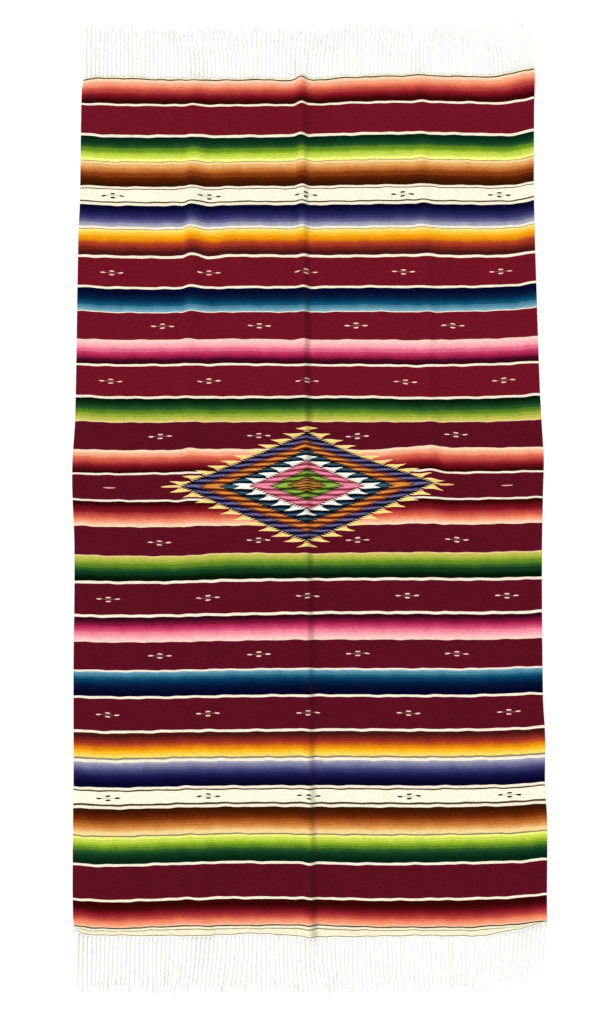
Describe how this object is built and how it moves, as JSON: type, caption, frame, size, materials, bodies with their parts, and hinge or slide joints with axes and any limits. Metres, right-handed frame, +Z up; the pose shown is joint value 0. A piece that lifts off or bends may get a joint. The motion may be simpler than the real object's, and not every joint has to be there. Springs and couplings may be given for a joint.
{
  "type": "mexican serape",
  "caption": "Hand-woven striped wool serape with a serrated centre diamond and warp fringe at both ends, laid out flat.",
  "frame": {"origin": "middle of the part's box, on the surface that the cloth lies on", "axes": "+X across the cloth, +Y along it towards the head end, +Z up out of the face that shows"},
  "size_m": [1.2114, 2.501, 0.016],
  "materials": {
    "wool_weave": "matt weft-faced wool with stripe bands and a serrated diamond",
    "warp_cotton": "matt undyed cotton yarn"
  },
  "bodies": {
    "root": {"woven_panel": "wool_weave", "fringe_head": "warp_cotton", "fringe_foot": "warp_cotton"}
  },
  "joints": []
}
